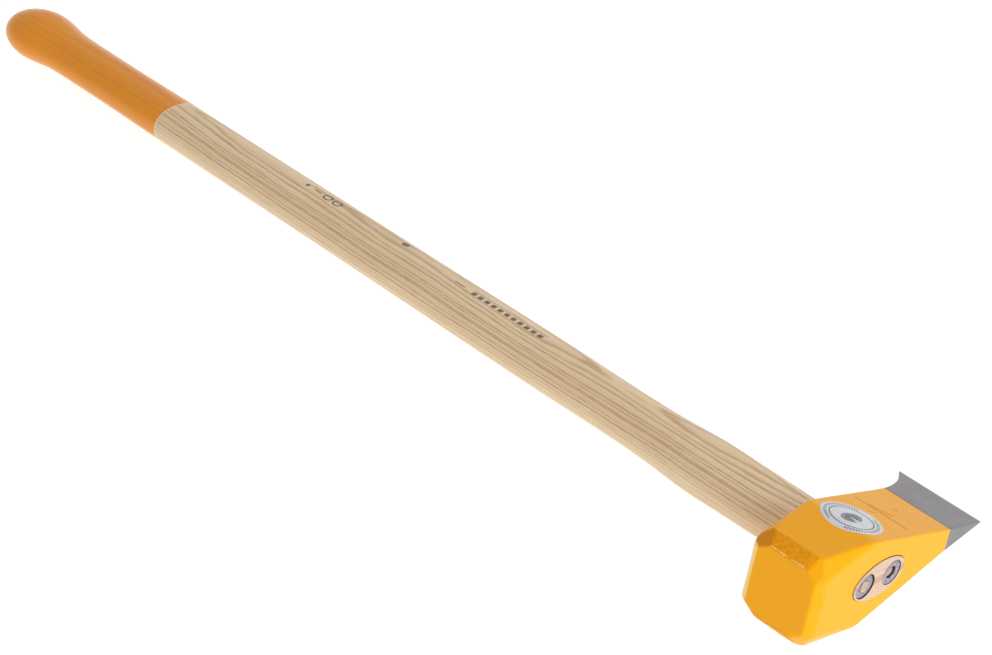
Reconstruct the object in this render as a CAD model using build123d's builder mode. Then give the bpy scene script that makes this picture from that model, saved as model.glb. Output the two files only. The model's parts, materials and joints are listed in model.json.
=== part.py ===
from build123d import *
import os
from math import asin, atan2, cos, hypot, sin, tan

# Splitting maul: a forged wedge-shaped head on an oval ash handle.
#
# Every sub-part is drawn in the head's own frame, in millimetres:
#   X  from the poll (the flat striking face) to the cutting edge
#   Y  across the cheeks
#   Z  along the handle, with 0 at the head's outer end and the grip at negative Z
# The last section lays the finished maul down on the floor, as it rests by itself.

# ---- Driving dimensions -------------------------------------------------------------------

handle_length = 900  # from the head's outer end to the tip of the knob

# Head, seen along the handle
poll_x = -70  # striking face
shoulder_x = -62.5  # where the bevels round the striking face end
crease_x = -15.5  # where the parallel body turns into the wedge
steel_x = 77  # where the ground bit begins
edge_x = 115  # cutting edge
poll_half = 27.8  # half width of the striking face
body_half = 35.25  # half width of the body
steel_half = 9
edge_half = 0.4  # the edge of a maul is blunt
crease_radius = 30

# Head, seen from the side
head_height = 58.2
under_shoulder_x = -67.3  # the bevel of the striking face is narrower underneath
bit_width = 72  # the edge is longer than the body is high

# Facets that take off the long corners of the body and the corners of the poll, at the outer
# end of the head and at its under face. Across is taken from the end face and down from the
# cheek, both at the shoulder, and end is what is left of across at the crease. Inset is the
# bevel above or below the striking face, and poll is what its corners lose across.
outer_corner = {"across": 12.2, "down": 8.1, "end": 1.6, "inset": 3.9, "poll": 7.4}
under_corner = {"across": 9, "down": 7.8, "end": 0.6, "inset": 4.0, "poll": 6.4}
poll_corner_down = 10
corner_reach = 3  # how far past the shoulder a corner facet runs
edge_radius = 1

# Eye, an oval that widens towards the head's outer end
eye_top = (27.5, 15)  # half length and half width
eye_bottom = (25.2, 14.6)
eye_rim = 0.8
overshoot = 5  # how far a cutter runs out of what it cuts

# Handle. The oval is this many times as wide in X as in Y.
oval = 1.49
half_widths = [  # (distance from the head's outer end, half width in X)
    (head_height, 25.8),
    (120, 26.2),
    (150, 26.5),
    (190, 24.1),
    (300, 23.9),
    (500, 23.0),
    (700, 22.4),
    (800, 22.0),
    (836, 23.2),
]
knob_z = -866
knob_half = 27.4
tongue_top = 0.9  # the trimmed wood stands this far out of the head

# Wooden wedge in the sawn kerf
kerf_top = 5
kerf_bottom = 1
kerf_depth = 48

# Steel ring wedges, driven in across the kerf
ring_depth = 22
ring_lip = 0.8  # wall left at the driven end
ring_taper = 0.8  # how much narrower the driven end is
poll_ring = {"x": -16.2, "outer": 8.9, "inner": 4.6, "top": 0.2}
edge_ring = {"x": 12.7, "outer": 9.2, "inner": 4.6, "top": 0.5}

# Round paper label on the cheek, wrapped over the crease
label_radius = 22
label_x = -2.4
label_z = -30.4
label_thickness = 0.25

# ---- Shared shapes ------------------------------------------------------------------------

facet_turn = atan2(body_half - steel_half, steel_x - crease_x)
corner_planes = []
for side in (1, -1):
    for corner, face_z, inward in ((outer_corner, 0, -1), (under_corner, -head_height, 1)):
        cheek_y = side * body_half
        long_corner = [
            Vector(shoulder_x, cheek_y - side * corner["across"], face_z),
            Vector(shoulder_x, cheek_y, face_z + inward * corner["down"]),
            Vector(crease_x, cheek_y - side * corner["end"], face_z),
        ]
        poll_y = side * poll_half
        poll_z = face_z + inward * corner["inset"]
        poll_corner = [
            Vector(poll_x, poll_y - side * corner["poll"], poll_z),
            Vector(poll_x, poll_y, poll_z + inward * poll_corner_down),
            (long_corner[0] + long_corner[1]) / 2,
        ]
        for first, second, third in (long_corner, poll_corner):
            normal = (second - first).cross(third - first).normalized()
            if normal.Y * side < 0:
                normal = -normal
            corner_planes.append(Plane(origin=first, z_dir=normal))

with BuildSketch(Plane.XY) as wedge_outline:
    with BuildLine():
        upper = Polyline(
            (poll_x, poll_half),
            (shoulder_x, body_half),
            (crease_x, body_half),
            (steel_x, steel_half),
            (edge_x, edge_half),
        )
        lower = mirror(upper, about=Plane.XZ)
        Line((poll_x, poll_half), (poll_x, -poll_half))
        Line((edge_x, edge_half), (edge_x, -edge_half))
    make_face()
    turns = wedge_outline.vertices().group_by(Axis.X)
    fillet(turns[2], radius=crease_radius)


def eye_solid(bottom, top):
    """The tapered oval of the eye between two heights."""
    with BuildPart() as body:
        for height in (bottom, top):
            rise = 1 + height / head_height
            half_length, half_width = (b + (t - b) * rise for b, t in zip(eye_bottom, eye_top))
            with BuildSketch(Plane.XY.offset(height)):
                Ellipse(half_length, half_width)
        loft(ruled=True)
    return body.part


def kerf_solid():
    """The tapered slot along the eye's long axis that the wooden wedge fills."""
    with BuildPart() as body:
        with BuildSketch(Plane.YZ):
            Polygon(
                (-kerf_bottom / 2, -kerf_depth),
                (kerf_bottom / 2, -kerf_depth),
                (kerf_top / 2, tongue_top),
                (-kerf_top / 2, tongue_top),
                align=None,
            )
        extrude(amount=2 * eye_top[0], both=True)
    return body.part


def ring_solid(ring):
    """A steel tube, thick at its outer end and thinned from inside towards its driven end."""
    top = ring["top"]
    driven = top - ring_depth
    driven_outer = ring["outer"] - ring_taper
    with BuildPart() as body:
        with BuildSketch(Plane((ring["x"], 0, 0), x_dir=(1, 0, 0), z_dir=(0, -1, 0))):
            Polygon(
                (ring["inner"], top),
                (ring["outer"], top),
                (driven_outer, driven),
                (driven_outer - ring_lip, driven),
                align=None,
            )
        revolve(axis=Axis((ring["x"], 0, 0), (0, 0, 1)))
    return body.part


def ring_seat(ring):
    """What a driven ring takes out of the wood: itself and the mark that it leaves above."""
    with BuildPart() as body:
        add(ring_solid(ring))
        with BuildSketch(Plane.XY.offset(ring["top"])):
            with Locations((ring["x"], 0)):
                Circle(ring["outer"])
                Circle(ring["inner"], mode=Mode.SUBTRACT)
        extrude(amount=tongue_top - ring["top"])
    return body.part


# ---- Head ---------------------------------------------------------------------------------

with BuildPart() as head:
    add(wedge_outline.sketch)
    extrude(amount=-bit_width)
    with BuildSketch(Plane.XZ):
        with BuildLine():
            Polyline(
                (steel_x, -head_height),
                (under_shoulder_x, -head_height),
                (poll_x, -head_height + under_corner["inset"]),
                (poll_x, -outer_corner["inset"]),
                (shoulder_x, 0),
                (edge_x, 0),
                (edge_x, -bit_width),
            )
            TangentArc((steel_x, -head_height), (edge_x, -bit_width), tangent=(1, 0))
        make_face()
    extrude(amount=2 * body_half, both=True, mode=Mode.INTERSECT)
    for corner in corner_planes:
        split(bisect_by=corner, keep=Keep.BOTTOM)
    add(eye_solid(-head_height - overshoot, overshoot), mode=Mode.SUBTRACT)
    straight = head.edges().filter_by(GeomType.LINE)
    poll_edges = straight.filter_by(lambda edge: edge.center().X < shoulder_x + corner_reach)
    body_edges = straight.filter_by(lambda edge: edge.center().X < crease_x)
    end_edges = body_edges.filter_by(Plane.XY)
    fillet(ShapeList(set(poll_edges + end_edges)), radius=edge_radius)
    rim = head.edges().filter_by(GeomType.BSPLINE).sort_by(Axis.Z)[-1]
    fillet(rim, radius=eye_rim)

# ---- Handle and its wooden wedge ----------------------------------------------------------

with BuildPart() as handle:
    with BuildSketch(Plane.XZ):
        with BuildLine():
            Spline(
                *[(half, -depth) for depth, half in half_widths],
                (knob_half, knob_z),
                tangents=[(0, -1), (0, -1)],
            )
            EllipticalCenterArc(
                (0, knob_z), knob_half, handle_length + knob_z, start_angle=270, arc_size=90
            )
            Polyline((0, -handle_length), (0, -head_height), (half_widths[0][1], -head_height))
        make_face()
    revolve(axis=Axis.Z)
    scale(by=(1, 1 / oval, 1))
    add(eye_solid(-head_height - overshoot, tongue_top))
    add(kerf_solid(), mode=Mode.SUBTRACT)
    for ring in (poll_ring, edge_ring):
        add(ring_seat(ring), mode=Mode.SUBTRACT)

with BuildPart() as kerf_wedge:
    add(eye_solid(-head_height, tongue_top))
    add(kerf_solid(), mode=Mode.INTERSECT)
    for ring in (poll_ring, edge_ring):
        add(ring_seat(ring), mode=Mode.SUBTRACT)

# ---- Ring wedges --------------------------------------------------------------------------

with BuildPart() as ring_wedge_poll:
    add(ring_solid(poll_ring))

with BuildPart() as ring_wedge_edge:
    add(ring_solid(edge_ring))

# ---- Label --------------------------------------------------------------------------------

with BuildPart() as label:
    with BuildSketch(Plane.XY):
        add(wedge_outline.sketch)
        offset(amount=label_thickness)
        add(wedge_outline.sketch, mode=Mode.SUBTRACT)
    extrude(amount=-head_height)
    with BuildSketch(Plane.XZ):
        with Locations((label_x, label_z)):
            Circle(label_radius)
    extrude(amount=-2 * body_half, mode=Mode.INTERSECT)

# ---- Lay the maul down --------------------------------------------------------------------
# It touches the floor at three places: the rounded crease of the lower cheek, the heel of
# the cutting edge and the knob. The plane through them is the floor.

heel = Vector(edge_x, -edge_half, -bit_width)
crease_centre = Vector(
    crease_x - crease_radius * tan(facet_turn / 2), crease_radius - body_half, -head_height
)
to_crease = heel - crease_centre
roll = asin(crease_radius / hypot(to_crease.X, to_crease.Y)) - atan2(-to_crease.Y, to_crease.X)
up = Vector(-sin(roll), cos(roll), 0)
crease_contact = crease_centre - up * crease_radius
knob_across = knob_half / oval
knob_reach = hypot(knob_half * up.X, knob_across * up.Y)
knob_contact = Vector(
    -(knob_half**2) * up.X / knob_reach, -(knob_across**2) * up.Y / knob_reach, knob_z
)
floor_normal = (knob_contact - crease_contact).cross(heel - crease_contact).normalized()
if floor_normal.dot(up) < 0:
    floor_normal = -floor_normal
towards_head = (Vector(0, 0, 1) - floor_normal * floor_normal.Z).normalized()
floor = Plane(origin=crease_contact, x_dir=towards_head, z_dir=floor_normal)

pieces = {
    "head": head,
    "handle": handle,
    "kerf_wedge": kerf_wedge,
    "ring_wedge_poll": ring_wedge_poll,
    "ring_wedge_edge": ring_wedge_edge,
    "label": label,
}
lie_down = floor.location.inverse()
box = Compound([lie_down * piece.part for piece in pieces.values()]).bounding_box()
rest = Pos(-box.center().X, -box.center().Y, -box.min.Z) * lie_down

os.makedirs("parts", exist_ok=True)
for name, piece in pieces.items():
    piece.part.label = name
    piece.part.move(rest)
    export_step(piece.part, f"parts/{name}.step")
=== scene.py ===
"""A splitting maul: a yellow lacquered wedge head with a ground steel bit, on an oval ash handle.

Every piece is worked out in the maul's own frame, in millimetres, and then carried into the row
frame. X runs from the poll to the cutting edge, Y across the cheeks and Z along the handle, with
0 at the head's outer end and the grip at negative Z.
"""

import json
from functools import partial
from math import atan2, cos, pi, radians, sin, sqrt, tan

import bmesh
import bpy
import numpy as np
from bpy.props import FloatProperty, PointerProperty, StringProperty
from mathutils import Matrix, Quaternion, Vector


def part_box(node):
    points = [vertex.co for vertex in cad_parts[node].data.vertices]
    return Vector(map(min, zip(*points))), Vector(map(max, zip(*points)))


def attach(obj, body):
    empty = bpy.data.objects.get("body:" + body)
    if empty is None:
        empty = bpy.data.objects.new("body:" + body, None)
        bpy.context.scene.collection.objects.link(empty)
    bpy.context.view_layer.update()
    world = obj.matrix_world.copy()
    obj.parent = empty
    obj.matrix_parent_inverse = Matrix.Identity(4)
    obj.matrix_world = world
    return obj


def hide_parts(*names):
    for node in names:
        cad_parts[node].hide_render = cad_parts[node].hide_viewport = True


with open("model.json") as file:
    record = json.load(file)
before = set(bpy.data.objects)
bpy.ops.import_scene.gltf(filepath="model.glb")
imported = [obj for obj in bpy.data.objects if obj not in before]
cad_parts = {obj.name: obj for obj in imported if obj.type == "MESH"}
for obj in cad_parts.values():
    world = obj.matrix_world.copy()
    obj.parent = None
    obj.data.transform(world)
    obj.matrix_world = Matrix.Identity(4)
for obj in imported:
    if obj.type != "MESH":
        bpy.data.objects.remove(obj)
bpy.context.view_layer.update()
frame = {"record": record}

bl_info = {
    "name": "Splitting maul",
    "version": (1, 0, 0),
    "blender": (4, 5, 0),
    "location": "3D View > Sidebar > Maul",
    "description": "Builds a splitting maul around its packed frame",
    "category": "Object",
}

MM = 0.001

# ---- The maul's own frame -----------------------------------------------------------------

MOUNTS = {mount["name"]: mount for mount in frame["record"]["mounts"]}
END_FACE_X = 50  # where the end face's mount lies, from the eye's centre


def unit(vector):
    """A vector divided by its length."""
    return vector / np.linalg.norm(vector)


ALONG = unit(np.array(MOUNTS["head_end_face"]["axis"]))
ACROSS = unit(np.cross(ALONG, -np.array(MOUNTS["striking_face"]["axis"])))
TO_EDGE = np.cross(ACROSS, ALONG)
OWN_AXES = np.column_stack([TO_EDGE, ACROSS, ALONG])
OWN_ORIGIN = np.array(MOUNTS["head_end_face"]["pos_m"]) - END_FACE_X * MM * TO_EDGE

# ---- Sizes of the forging and of what fills its eye, in mm, as the CAD has them -----------

POLL_X, SHOULDER_X, CREASE_X, STEEL_X, EDGE_X = -70, -62.5, -15.5, 77, 115
POLL_HALF, BODY_HALF, STEEL_HALF, EDGE_HALF = 27.8, 35.25, 9, 0.4
CREASE_RADIUS = 30
HEAD_HEIGHT, BIT_WIDTH = 58.2, 72
UNDER_SHOULDER_X = -67.3
OUTER_CORNER = {"across": 12.2, "down": 8.1, "end": 1.6, "inset": 3.9, "poll": 7.4}
UNDER_CORNER = {"across": 9, "down": 7.8, "end": 0.6, "inset": 4.0, "poll": 6.4}
POLL_CORNER_DOWN = 10
EYE_TOP, EYE_BOTTOM = (27.5, 15), (25.2, 14.6)
EYE_RIM = 0.8
HANDLE_LENGTH, KNOB_Z, KNOB_HALF = 900, -866, 27.4
OVAL = 1.49
HALF_WIDTHS = (
    (HEAD_HEIGHT, 25.8),
    (120, 26.2),
    (150, 26.5),
    (190, 24.1),
    (300, 23.9),
    (500, 23.0),
    (700, 22.4),
    (800, 22.0),
    (836, 23.2),
    (866, 27.4),
)
RING_DEPTH, RING_LIP, RING_TAPER = 22, 0.8, 0.8
POLL_RING = {"x": -16.2, "outer": 8.9, "inner": 4.6, "top": 0.2, "core": 0.35}
EDGE_RING = {"x": 12.7, "outer": 9.2, "inner": 4.6, "top": 0.5, "core": -1.1}
# The wood stands off each ring: how wide the gap is all round, and how far it is off centre in X.
POLL_RING |= {"seat_gap": 0.65, "seat_shift": 0.55, "core_gap": 0.15, "core_shift": 0.0}
EDGE_RING |= {"seat_gap": 0.4, "seat_shift": 0.2, "core_gap": 0.75, "core_shift": -0.55}
SEAT_DEPTH = 6
WOOD_TOP = 0.75
SHRINKAGE = 0.4  # how far the wood has drawn back from the eye's edge end
SHADE_DEPTH = 16  # how far down the gaps the painted shade is drawn
HANDLE_COLUMNS = 256
DIVIDE = 67  # the column where the end face's dividing line meets its outline
KERF_HALF = 2.5
LABEL_X, LABEL_Z = -2.4, -30.4
BIT_SUNK = 0.17  # the ground bit is a coat of lacquer thinner than the head

SLOPE = (BODY_HALF - STEEL_HALF) / (STEEL_X - CREASE_X)
BIT_SLOPE = (STEEL_HALF - EDGE_HALF) / (EDGE_X - STEEL_X)


# ---- Meshes -------------------------------------------------------------------------------


def to_row(points):
    """Own-frame millimetres to row-frame metres."""
    return points @ OWN_AXES.T * MM + OWN_ORIGIN


def grid_faces(rows, columns, rows_closed=False):
    """Quads over a grid whose columns close on themselves, with the rows closed as well if asked."""
    index = np.arange(rows * columns).reshape(rows, columns)
    if rows_closed:
        index = np.vstack([index, index[:1]])
    right = np.roll(index, -1, axis=1)
    corners = (index[:-1], right[:-1], right[1:], index[1:])
    return np.stack(corners, axis=-1).reshape(-1, 4)


def add_piece(name, parts, finish, replaces=()):
    """Joins parts, each (points, faces) in the own frame, welds what coincides and turns it outwards."""
    points, faces, start = [], [], 0
    for part_points, part_faces in parts:
        flat = part_points.reshape(-1, 3)
        points.append(flat)
        faces.extend((np.asarray(face) + start).tolist() for face in part_faces)
        start += len(flat)
    mesh = bpy.data.meshes.new(name)
    mesh.from_pydata(to_row(np.concatenate(points)).tolist(), [], faces)
    work = bmesh.new()
    work.from_mesh(mesh)
    bmesh.ops.remove_doubles(work, verts=work.verts, dist=2e-6)
    bmesh.ops.recalc_face_normals(work, faces=work.faces)
    work.to_mesh(mesh)
    work.free()
    mesh.shade_smooth()
    mesh.materials.append(finish)
    piece = bpy.data.objects.new(name, mesh)
    bpy.context.scene.collection.objects.link(piece)
    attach(piece, "root")
    if replaces:
        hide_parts(*replaces)
    return piece


def plane_waves(points, wavelength, seed, count=28):
    """Smooth noise of about unit size: a sum of plane waves in seeded directions and phases."""
    draw = np.random.default_rng(seed)
    total = np.zeros(points.shape[:-1])
    for _ in range(count):
        direction = unit(draw.normal(size=3))
        length = wavelength * draw.uniform(0.7, 1.5)
        total += np.cos(points @ direction * (2 * pi / length) + draw.uniform(0, 2 * pi))
    return total / sqrt(count / 2)


def paint_points(piece, values):
    """Stores one number per vertex under each name, from a function of the own-frame points."""
    mesh = piece.data
    places = np.empty(3 * len(mesh.vertices))
    mesh.vertices.foreach_get("co", places)
    points = (places.reshape(-1, 3) - OWN_ORIGIN) / MM @ OWN_AXES
    for name, share in values.items():
        layer = mesh.attributes.new(name, "FLOAT", "POINT")
        layer.data.foreach_set("value", share(points).astype(np.float32))


# ---- The forging --------------------------------------------------------------------------


def cheek_half(x):
    """Half thickness at x: the level body, an arc over the crease, then the straight wedge."""
    reach = CREASE_RADIUS * tan(atan2(SLOPE, 1) / 2)
    centre = CREASE_X - reach
    arc = np.sqrt(np.maximum(CREASE_RADIUS**2 - (x - centre) ** 2, 0))
    rounded = BODY_HALF - CREASE_RADIUS + arc
    wedge = BODY_HALF - SLOPE * (x - CREASE_X)
    leave = CREASE_X + reach * cos(atan2(SLOPE, 1))
    return np.where(x < centre, BODY_HALF, np.where(x < leave, rounded, wedge))


def corner_planes():
    """The planes that cut the corners on the +Y side, as (normal, distance), from three points."""
    planes = []
    for corner, face_z, inward in ((OUTER_CORNER, 0, -1), (UNDER_CORNER, -HEAD_HEIGHT, 1)):
        shoulder = np.array([SHOULDER_X, BODY_HALF - corner["across"], face_z])
        below = np.array([SHOULDER_X, BODY_HALF, face_z + inward * corner["down"]])
        far = np.array([CREASE_X, BODY_HALF - corner["end"], face_z])
        poll_z = face_z + inward * corner["inset"]
        poll = np.array([POLL_X, POLL_HALF - corner["poll"], poll_z])
        poll_below = np.array([POLL_X, POLL_HALF, poll_z + inward * POLL_CORNER_DOWN])
        for a, b, c in ((shoulder, below, far), (poll, poll_below, (shoulder + below) / 2)):
            normal = unit(np.cross(b - a, c - a))
            normal = normal * np.sign(normal[1])
            planes.append((normal, normal @ a))
    return planes


def bevel_distance(points):
    """Distance from the slanting faces that join the poll to the cheeks."""
    normal = unit(np.array([POLL_HALF - BODY_HALF, SHOULDER_X - POLL_X]))
    return (points[..., 0] - POLL_X) * normal[0] + (np.abs(points[..., 1]) - POLL_HALF) * normal[1]


def under_bevel_distance(x, z):
    """Distance from the slanting face that joins the poll to the under face."""
    inset = UNDER_CORNER["inset"]
    normal = unit(np.array([-inset, UNDER_SHOULDER_X - POLL_X]))
    return (x - POLL_X) * normal[0] + (inset - HEAD_HEIGHT - z) * normal[1]


def forging_distance(points, radius):
    """How far points lie outside the forging: each face's own distance, rounded where faces meet.

    With r the radius it is the length of all the distances that are above -r, less r.
    """
    x, y, z = points[..., 0], np.abs(points[..., 1]), points[..., 2]
    outer_inset = OUTER_CORNER["inset"]
    rise = unit(np.array([-outer_inset, SHOULDER_X - POLL_X]))
    faces = [
        POLL_X - x,
        bevel_distance(points),
        (y - cheek_half(x)) * cos(atan2(SLOPE, 1)),
        (x - POLL_X) * rise[0] + (z + outer_inset) * rise[1],
        under_bevel_distance(x, z),
        z,
        -HEAD_HEIGHT - z,
        x - STEEL_X,
    ]
    mirrored = np.stack([x, y, z], axis=-1)
    faces += [mirrored @ normal - distance for normal, distance in corner_planes()]
    total = np.zeros_like(x)
    for face in faces:
        total += np.maximum(face + radius, 0) ** 2
    return np.sqrt(total) - radius


def cast(core, target, radius):
    """Where the lines from core to target leave the forging, found by halving."""
    low, high = np.zeros(target.shape[:-1]), np.full(target.shape[:-1], 1.05)
    for _ in range(26):
        middle = (low + high) / 2
        inside = forging_distance(core + (target - core) * middle[..., None], radius) < 0
        low, high = np.where(inside, middle, low), np.where(inside, high, middle)
    return core + (target - core) * low[..., None]


SCORED, LONG_SCORES = (22, 54.5), (32.5, 40.5)  # where the score marks lie in X


def forging_outline(columns):
    """Points round the head seen along the handle, closer together at its edges and marks."""
    corners = [(POLL_X, 0), (POLL_X, POLL_HALF), (SHOULDER_X, BODY_HALF)]
    run = np.linspace(SHOULDER_X, STEEL_X, 3000)[1:]
    x = np.concatenate([[c[0] for c in corners], run, [STEEL_X]])
    y = np.concatenate([[c[1] for c in corners], cheek_half(run), [0]])
    length = np.concatenate([[0], np.cumsum(np.hypot(np.diff(x), np.diff(y)))])
    fine = np.linspace(0, length[-1], 12000)
    x, y = np.interp(fine, length, x), np.interp(fine, length, y)
    turns = [length[1], length[2], length[-2]]
    step = np.full_like(fine, 1.15)
    step[(fine > turns[0]) & (fine < turns[1])] = 0.6
    for (first, last), width in ((SCORED, 0.6), (LONG_SCORES, 0.36)):
        step[(x > first) & (x < last) & (fine < turns[2])] = width
    for turn in turns:
        step[np.abs(fine - turn) < 1.6] = 0.3
    share = np.concatenate([[0], np.cumsum(1 / step)[:-1]])
    wanted = np.linspace(0, share[-1], columns // 2 + 1)
    half_x, half_y = np.interp(wanted, share, x), np.interp(wanted, share, y)
    return (
        np.concatenate([half_x, half_x[-2:0:-1]]),
        np.concatenate([half_y, -half_y[-2:0:-1]]),
    )


def segment_distance(u, v, start, end):
    """Distance in a plane from the straight run between two points."""
    run = np.array(end, float) - np.array(start, float)
    along = np.clip(((u - start[0]) * run[0] + (v - start[1]) * run[1]) / (run @ run), 0, 1)
    return np.hypot(u - start[0] - along * run[0], v - start[1] - along * run[1])


SINK = 2.2  # how far the plain faces are sunk, in unevennesses, so that no bump leaves the CAD's box
BURR_RISE = 0.12
# Each score: its two ends in X and Z, and its depth.
SCORES = (
    ((33.2, -52.6), (33.9, -8.3), 0.34),
    ((35.2, -40.9), (39.4, -24.4), 0.28),
    ((52.8, -33.6), (50.8, -28.5), 0.24),
    ((24.0, -34.7), (29.2, -31.0), 0.24),
)


def score_depth(points):
    """Depth of the scratched lines on the upper wedge face, from the distance to each run."""
    depth = np.zeros(points.shape[:-1])
    for start, end, deepest in SCORES:
        away = segment_distance(points[..., 0], points[..., 2], start, end)
        depth = np.maximum(depth, deepest * np.exp(-((away / 0.42) ** 2)))
    return np.where(points[..., 1] > 0, depth, 0)


def burr_height(points):
    """A ragged burr along the +Y upright edge of the striking face, 0 to 1, broken by slow noise; its share
    also paints a highlight on the lacquer.
    """
    away = np.hypot(points[..., 0] - POLL_X - 0.3, points[..., 1] - POLL_HALF)
    ragged = np.clip(0.55 + 0.7 * plane_waves(points, 7, 5), 0, 1)
    inside = (points[..., 2] < -OUTER_CORNER["inset"] - 6) & (points[..., 2] > 4 - HEAD_HEIGHT)
    return np.where(inside, ragged * np.exp(-((away / 0.5) ** 2)), 0)


def edge_highlight_share(points):
    """1 on the underside's rim and the bevel at the poll: a painted highlight that pales the lacquer along
    these far edges.
    """
    x, y, z = points[..., 0], np.abs(points[..., 1]), points[..., 2]
    under = np.clip(2.2 - (z + HEAD_HEIGHT) / 0.7, 0, 1)
    at_cheek = np.clip(2.2 - (cheek_half(x) - y) / 0.8, 0, 1)
    on_bevel = np.clip(2.2 + under_bevel_distance(x, z) / 0.5, 0, 1)
    return np.maximum(under * at_cheek, on_bevel)


def corner_shade_share(points):
    """1 on the underside's poll corners, where painted shade colours the lacquer darker."""
    mirrored = np.stack([points[..., 0], np.abs(points[..., 1]), points[..., 2]], axis=-1)
    normal, distance = corner_planes()[-1]
    return np.clip(1.6 + (mirrored @ normal - distance) / 0.5, 0, 1)


def bare_wall_shade_share(points):
    """1 on the eye's bare wall at its edge end, where the wood has shrunk away, and 0 elsewhere; painted
    shade darkens this bare steel.
    """
    x, y, z = points[..., 0], points[..., 1], points[..., 2]
    inside = np.hypot(x / (EYE_TOP[0] + 0.25), y / (EYE_TOP[1] + 0.25)) < 1
    return np.where(inside & (z < -0.55), np.clip((x - 6) / 6, 0, 1), 0)


def forging_relief(points, sizes):
    """Height of the skin over the plain faces: hammer unevenness, rough bevels and score lines."""
    relief = sizes.unevenness / MM * plane_waves(points, 24, 1)
    relief += 0.35 * sizes.unevenness / MM * plane_waves(points, 9, 2)
    on_bevel = np.clip(1.5 - np.abs(bevel_distance(points)) / 0.7, 0, 1)
    rough = plane_waves(points, 3.1, 3) + 0.6 * plane_waves(points, 1.7, 4)
    relief += on_bevel * sizes.bevel_roughness / MM * np.clip(rough, -1.6, 1.2)
    relief = np.minimum(relief, SINK * sizes.unevenness / MM)
    return relief + BURR_RISE * burr_height(points) - score_depth(points)


def forging_skin(sizes):
    """The head up to the bit, as one closed grid.

    A section runs from the eye's rim over the end face, down the cheek and back under to the eye,
    and up the bore. It is carried round the eye. Each section's outer points lie where lines from
    its middle leave the rounded planes of the forging, spread evenly over length and turning.
    """
    columns, rows, samples = 540, 150, 420
    radius = sizes.edge_radius / MM
    out_x, out_y = forging_outline(columns)
    angle = np.arctan2(out_y / EYE_TOP[1], out_x / EYE_TOP[0])
    top = np.stack([EYE_TOP[0] * np.cos(angle), EYE_TOP[1] * np.sin(angle)], axis=-1)
    bottom = np.stack([EYE_BOTTOM[0] * np.cos(angle), EYE_BOTTOM[1] * np.sin(angle)], axis=-1)
    outline = np.stack([out_x, out_y], axis=-1)
    outwards = outline - top
    outwards /= np.linalg.norm(outwards, axis=-1, keepdims=True)
    rim = top + outwards * EYE_RIM

    def at(flat, z):
        return np.concatenate([flat, np.full(flat.shape[:-1] + (1,), float(z))], axis=-1)

    def path(share):
        """Points along the square-cornered section: over the top, down and back underneath."""
        over_length = np.linalg.norm(outline - rim, axis=-1)[:, None]
        back_length = np.linalg.norm(outline - bottom, axis=-1)[:, None]
        total = over_length + HEAD_HEIGHT + back_length
        first = over_length / total
        second = (over_length + HEAD_HEIGHT) / total
        over = np.clip(share / first, 0, 1)[..., None]
        down = np.clip((share - first) / (second - first), 0, 1)[..., None]
        back = np.clip((share - second) / (1 - second), 0, 1)[..., None]
        corners = [at(rim, 0), at(outline, 0), at(outline, -HEAD_HEIGHT), at(bottom, -HEAD_HEIGHT)]
        corners = [corner[:, None] for corner in corners]
        return (
            corners[0]
            + (corners[1] - corners[0]) * over
            + (corners[2] - corners[1]) * down
            + (corners[3] - corners[2]) * back
        )

    core = at((rim + outline) / 2, -HEAD_HEIGHT / 2)[:, None]
    share = np.broadcast_to(np.linspace(0, 1, samples), (columns, samples))
    coarse = cast(core, path(share), radius)
    steps = np.diff(coarse, axis=1)
    lengths = np.linalg.norm(steps, axis=-1)
    heading = steps / np.maximum(lengths, 1e-9)[..., None]
    turning = np.arccos(np.clip((heading[:, 1:] * heading[:, :-1]).sum(-1), -1, 1))
    # Rows are spent on length and on turning, and more sparingly where the head is flat.
    cost = lengths / 1.2
    cost[:, 1:] += turning / radians(7)
    flat_top = coarse[:, 1:, 2] > -0.01
    cost = np.where(flat_top, cost * 0.6, cost)
    cost = np.where(coarse[:, 1:, 2] < -HEAD_HEIGHT + 0.01, cost * 0.45, cost)
    spent = np.concatenate([np.zeros((columns, 1)), np.cumsum(cost, axis=1)], axis=1)
    wanted = np.linspace(0, 1, rows)
    chosen = np.stack([np.interp(wanted * s[-1], s, share[0]) for s in spent])
    outer = cast(core, path(chosen), radius)

    nudge = 0.02
    slope = [
        forging_distance(outer + nudge * axis, radius) - forging_distance(outer - nudge * axis, radius)
        for axis in np.eye(3)
    ]
    normal = np.stack(slope, axis=-1)
    normal /= np.linalg.norm(normal, axis=-1, keepdims=True)
    fade = np.clip(np.minimum(wanted * rows / 4, (1 - wanted) * rows / 4), 0, 1)
    fade = fade * np.clip((STEEL_X - outer[..., 0]) / 1.5, 0, 1)
    sunk = -SINK * sizes.unevenness / MM
    outer = outer + normal * (fade * (forging_relief(outer, sizes) + sunk))[..., None]

    turn = np.linspace(0, pi / 2, 6)[:-1]
    arc = [at(top + outwards * EYE_RIM * (1 - cos(t)), -EYE_RIM * (1 - sin(t))) for t in turn]
    bore = []
    for rise in np.linspace(0, 1, 14)[1:-1]:
        z = -HEAD_HEIGHT + rise * (HEAD_HEIGHT - EYE_RIM)
        bore.append(at(bottom + (top - bottom) * (1 + z / HEAD_HEIGHT), z))
    loop = np.concatenate([np.stack(arc), outer.transpose(1, 0, 2), np.stack(bore)])
    return loop, grid_faces(len(loop), columns, rows_closed=True)


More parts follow.
